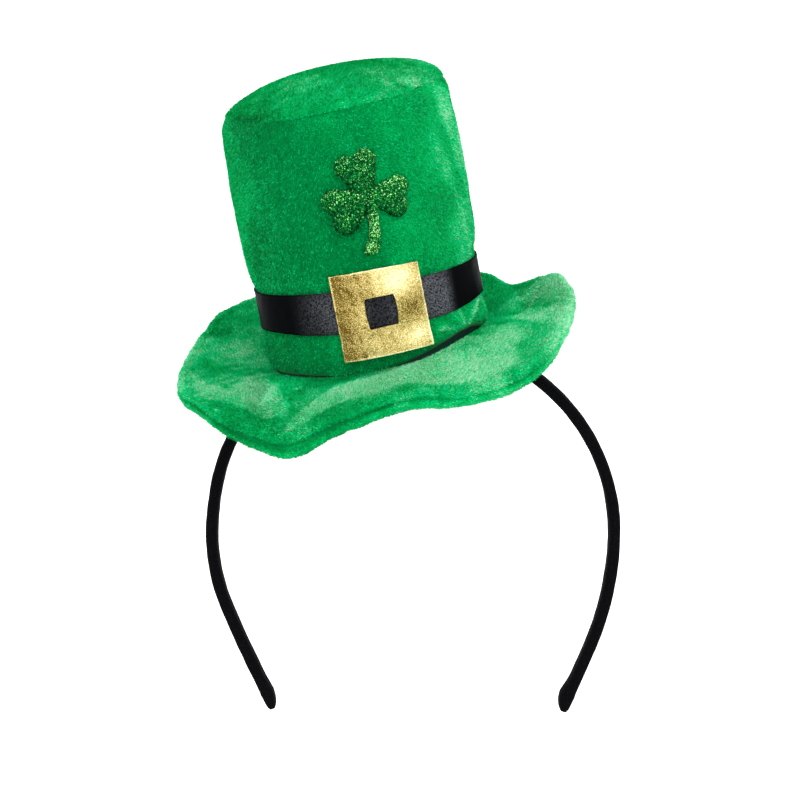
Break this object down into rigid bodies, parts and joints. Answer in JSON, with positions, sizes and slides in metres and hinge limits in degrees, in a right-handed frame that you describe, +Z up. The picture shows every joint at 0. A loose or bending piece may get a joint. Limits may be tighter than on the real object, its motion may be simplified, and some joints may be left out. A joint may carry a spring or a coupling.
{
  "type": "mini top hat on a headband",
  "caption": "Small plush top hat with a wavy brim, satin ribbon, square buckle and clover patch, fixed at a tilt on a springy headband that grips the head.",
  "frame": {"origin": "inner apex of the headband, midway through its depth, where it sits on the head", "axes": "+Z up out of the head, -Y towards the front of the hat, +X to the right when the front is looked at"},
  "size_m": [0.1476, 0.1348, 0.2271],
  "materials": {
    "plush": "short brushed pile",
    "satin": "satin",
    "gold_foil": "crinkled metallic foil",
    "glitter": "glitter",
    "band_cover": "matt woven"
  },
  "bodies": {
    "root": {"crown_side": "plush", "crown_top": "plush", "brim": "plush", "hat_band": "satin", "buckle": "gold_foil", "shamrock": "glitter", "headband": "band_cover"}
  },
  "joints": []
}
